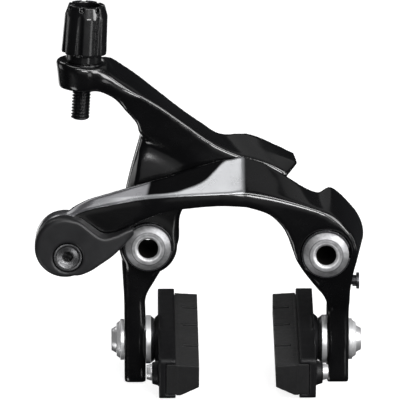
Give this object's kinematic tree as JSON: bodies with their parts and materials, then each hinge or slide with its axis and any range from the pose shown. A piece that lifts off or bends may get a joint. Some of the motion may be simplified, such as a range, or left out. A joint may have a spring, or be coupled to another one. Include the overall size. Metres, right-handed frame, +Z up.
{
  "type": "direct-mount rim brake caliper",
  "caption": "Direct-mount rim brake caliper: linked arms on bolt sleeves, quick-release cam lever, cable adjuster and cartridge brake shoes.",
  "frame": {"origin": "midway between the two mounting bolt axes, on the plane of the sleeves' rear faces", "axes": "+X to the viewer's right facing the caliper, +Y to the back (towards the fork), +Z up; the front is -Y"},
  "size_m": [0.1044, 0.0561, 0.1237],
  "materials": {
    "arm_black": "gloss",
    "lever_grey": "satin",
    "bracket_black": "satin",
    "machined_silver": "machined",
    "spring_steel": "polished",
    "dark_steel": "black oxide",
    "stud_black": "satin",
    "knob_black": "gloss",
    "bush_plastic": "matte",
    "shoe_black": "matte",
    "pad_rubber": "matte"
  },
  "bodies": {
    "mount": {"mounting_plate": "bracket_black", "left_pivot_sleeve": "machined_silver", "right_pivot_sleeve": "machined_silver", "left_snap_ring": "dark_steel", "right_snap_ring": "dark_steel", "left_spring_bush": "bush_plastic", "right_spring_bush": "bush_plastic", "left_return_spring": "spring_steel", "right_return_spring": "spring_steel"},
    "left_arm": {"rear_arm": "arm_black", "left_pivot_bearings": "bush_plastic", "adjuster_gasket": "bush_plastic"},
    "right_arm": {"front_arm": "arm_black", "right_pivot_bearings": "bush_plastic", "link_pin": "spring_steel", "release_washer": "bush_plastic"},
    "link_roller": {"link_roller": "bush_plastic"},
    "release_lever": {"release_lever": "lever_grey", "release_cam": "machined_silver", "cable_clamp_bolt": "dark_steel", "cable_clamp_plate": "spring_steel", "cable_clamp_nut": "spring_steel"},
    "adjuster_knob": {"adjuster_knob": "knob_black"},
    "adjuster_bolt": {"adjuster_bolt": "stud_black"},
    "centering_screw": {"centering_screw": "dark_steel"},
    "left_shoe_carrier": {"left_shoe_bolt": "spring_steel", "left_outer_washers": "machined_silver", "left_spacer_washer": "machined_silver", "left_dished_washer": "dark_steel"},
    "left_shoe": {"left_pad_holder": "shoe_black", "left_brake_pad": "pad_rubber", "left_pad_screw": "spring_steel"},
    "right_shoe_carrier": {"right_shoe_bolt": "spring_steel", "right_outer_washers": "machined_silver", "right_spacer_washer": "machined_silver", "right_dished_washer": "dark_steel"},
    "right_shoe": {"right_pad_holder": "shoe_black", "right_brake_pad": "pad_rubber", "right_pad_screw": "spring_steel"}
  },
  "joints": [
    {"name": "left_arm_pivot", "type": "hinge", "parent": "mount", "child": "left_arm", "pos_m": [-0.028, 0, 0], "axis": [0, -1, 0], "range_deg": [-4, 8], "deforming": ["left_return_spring"]},
    {"name": "right_arm_pivot", "type": "hinge", "parent": "mount", "child": "right_arm", "pos_m": [0.028, 0, 0], "axis": [0, 1, 0], "range_deg": [-4, 8], "deforming": ["right_return_spring"]},
    {"name": "link_roller_spin", "type": "hinge", "parent": "right_arm", "child": "link_roller", "pos_m": [0, -0.016, 0.024], "axis": [0, 1, 0], "continuous": true},
    {"name": "release_lever_turn", "type": "hinge", "parent": "right_arm", "child": "release_lever", "pos_m": [-0.0542, -0.03, 0.0032], "axis": [0, 1, 0], "range_deg": [0, 120]},
    {"name": "adjuster_knob_turn", "type": "hinge", "parent": "left_arm", "child": "adjuster_knob", "pos_m": [-0.0482, -0.0174, 0.0602], "axis": [0.0628, 0, 0.998], "range_deg": [-1000, 1000]},
    {"name": "adjuster_bolt_slide", "type": "slide", "parent": "left_arm", "child": "adjuster_bolt", "axis": [0.0628, 0, 0.998], "range_m": [-0.00275, 0.00275]},
    {"name": "centering_screw_turn", "type": "hinge", "parent": "right_arm", "child": "centering_screw", "pos_m": [0.0382, -0.00985, -0.0141], "axis": [1, 0, 0], "range_deg": [-540, 540]},
    {"name": "left_shoe_height", "type": "slide", "parent": "left_arm", "child": "left_shoe_carrier", "axis": [0, 0, 1], "range_m": [-0.006, 0.0025]},
    {"name": "left_shoe_angle", "type": "hinge", "parent": "left_shoe_carrier", "child": "left_shoe", "pos_m": [-0.022, -0.012, -0.0327], "axis": [1, 0, 0], "range_deg": [-9, 9]},
    {"name": "right_shoe_height", "type": "slide", "parent": "right_arm", "child": "right_shoe_carrier", "axis": [0, 0, 1], "range_m": [-0.006, 0.0025]},
    {"name": "right_shoe_angle", "type": "hinge", "parent": "right_shoe_carrier", "child": "right_shoe", "pos_m": [0.022, -0.012, -0.0327], "axis": [1, 0, 0], "range_deg": [-9, 9]}
  ],
  "couplings": [
    {"joint": "right_arm_pivot", "follows": "left_arm_pivot", "ratio": 1},
    {"joint": "adjuster_knob_turn", "follows": "adjuster_bolt_slide", "rad_per_m": -6283.2}
  ]
}
